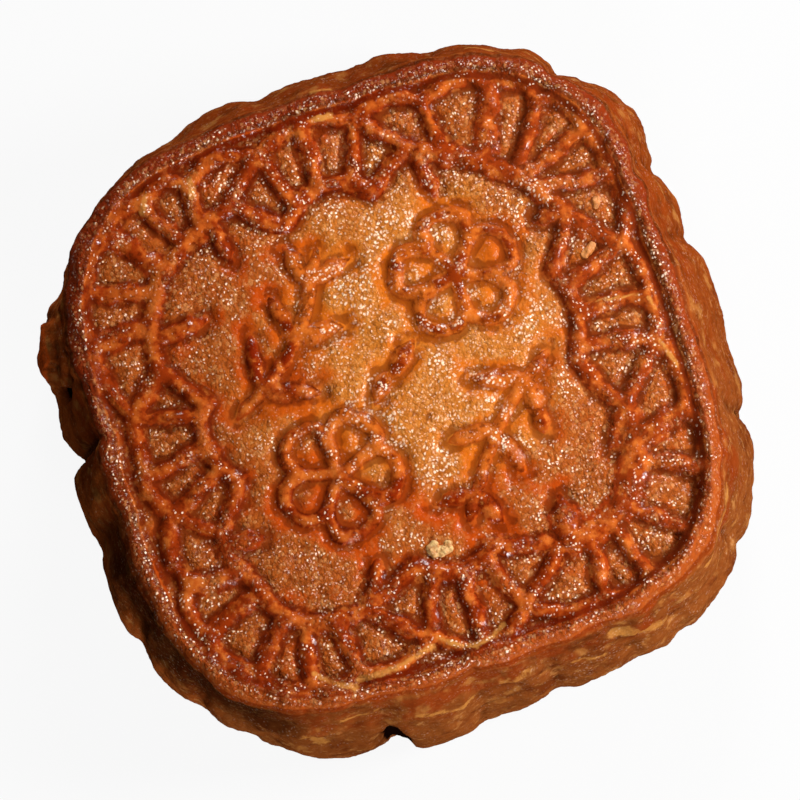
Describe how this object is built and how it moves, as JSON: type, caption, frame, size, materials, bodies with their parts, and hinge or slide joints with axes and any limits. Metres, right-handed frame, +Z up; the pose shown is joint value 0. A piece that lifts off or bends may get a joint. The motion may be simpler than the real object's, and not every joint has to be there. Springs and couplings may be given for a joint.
{
  "type": "mooncake",
  "caption": "Square baked mooncake with a fluted wall, a raised rim and a moulded lace border around pressed blossoms and leaf sprigs.",
  "frame": {"origin": "middle of the flat base that the cake rests on", "axes": "+Z up through the patterned top, +X and +Y square to two sides of the rounded square"},
  "size_m": [0.0748, 0.075, 0.033],
  "materials": {
    "crust": "baked dough brushed with egg, golden brown with darker ridges and a satin gloss on top"
  },
  "bodies": {
    "root": {"mooncake": "crust"}
  },
  "joints": []
}
